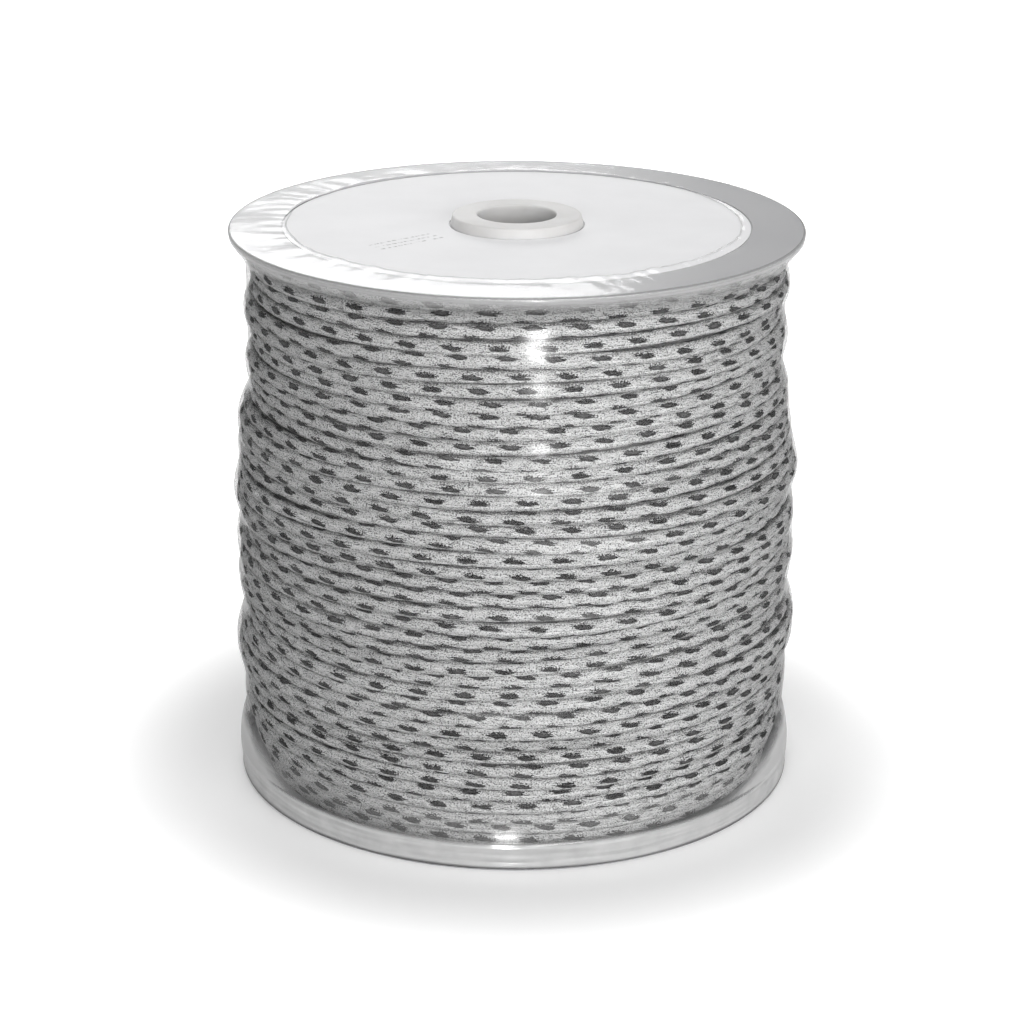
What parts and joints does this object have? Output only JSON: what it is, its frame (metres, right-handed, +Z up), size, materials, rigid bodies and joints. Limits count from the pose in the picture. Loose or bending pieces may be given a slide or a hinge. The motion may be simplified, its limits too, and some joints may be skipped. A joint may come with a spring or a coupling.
{
  "type": "cord reel",
  "caption": "Flanged reel wound with thick braided cord, with a round bore, raised hub collars, a paper label disc and a clear shrink film wrap.",
  "frame": {"origin": "centre of the foot face, on the bore axis, at the lowest point", "axes": "+Z up along the spindle bore, towards the labelled flange; +X and +Y are arbitrary round the bore, with the cord's start hole along +X"},
  "size_m": [0.162, 0.162, 0.1627],
  "materials": {
    "flange_plastic": "glossy grey-white moulded plastic, slightly clouded",
    "hub_plastic": "natural waxy moulded plastic",
    "drum_board": "plain wound board tube",
    "cord": "white braided cord with black flecks",
    "label_paper": "plain white paper, bare",
    "film": "clear shrink film"
  },
  "bodies": {
    "root": {"bottom_flange": "flange_plastic", "top_flange": "flange_plastic", "drum": "drum_board", "hub_tube": "hub_plastic", "bottom_collar": "hub_plastic", "top_collar": "hub_plastic", "cord_start": "cord", "cord_core": "cord", "cord_outer_layer": "cord", "top_label": "label_paper", "film_wrap": "film"}
  },
  "joints": []
}
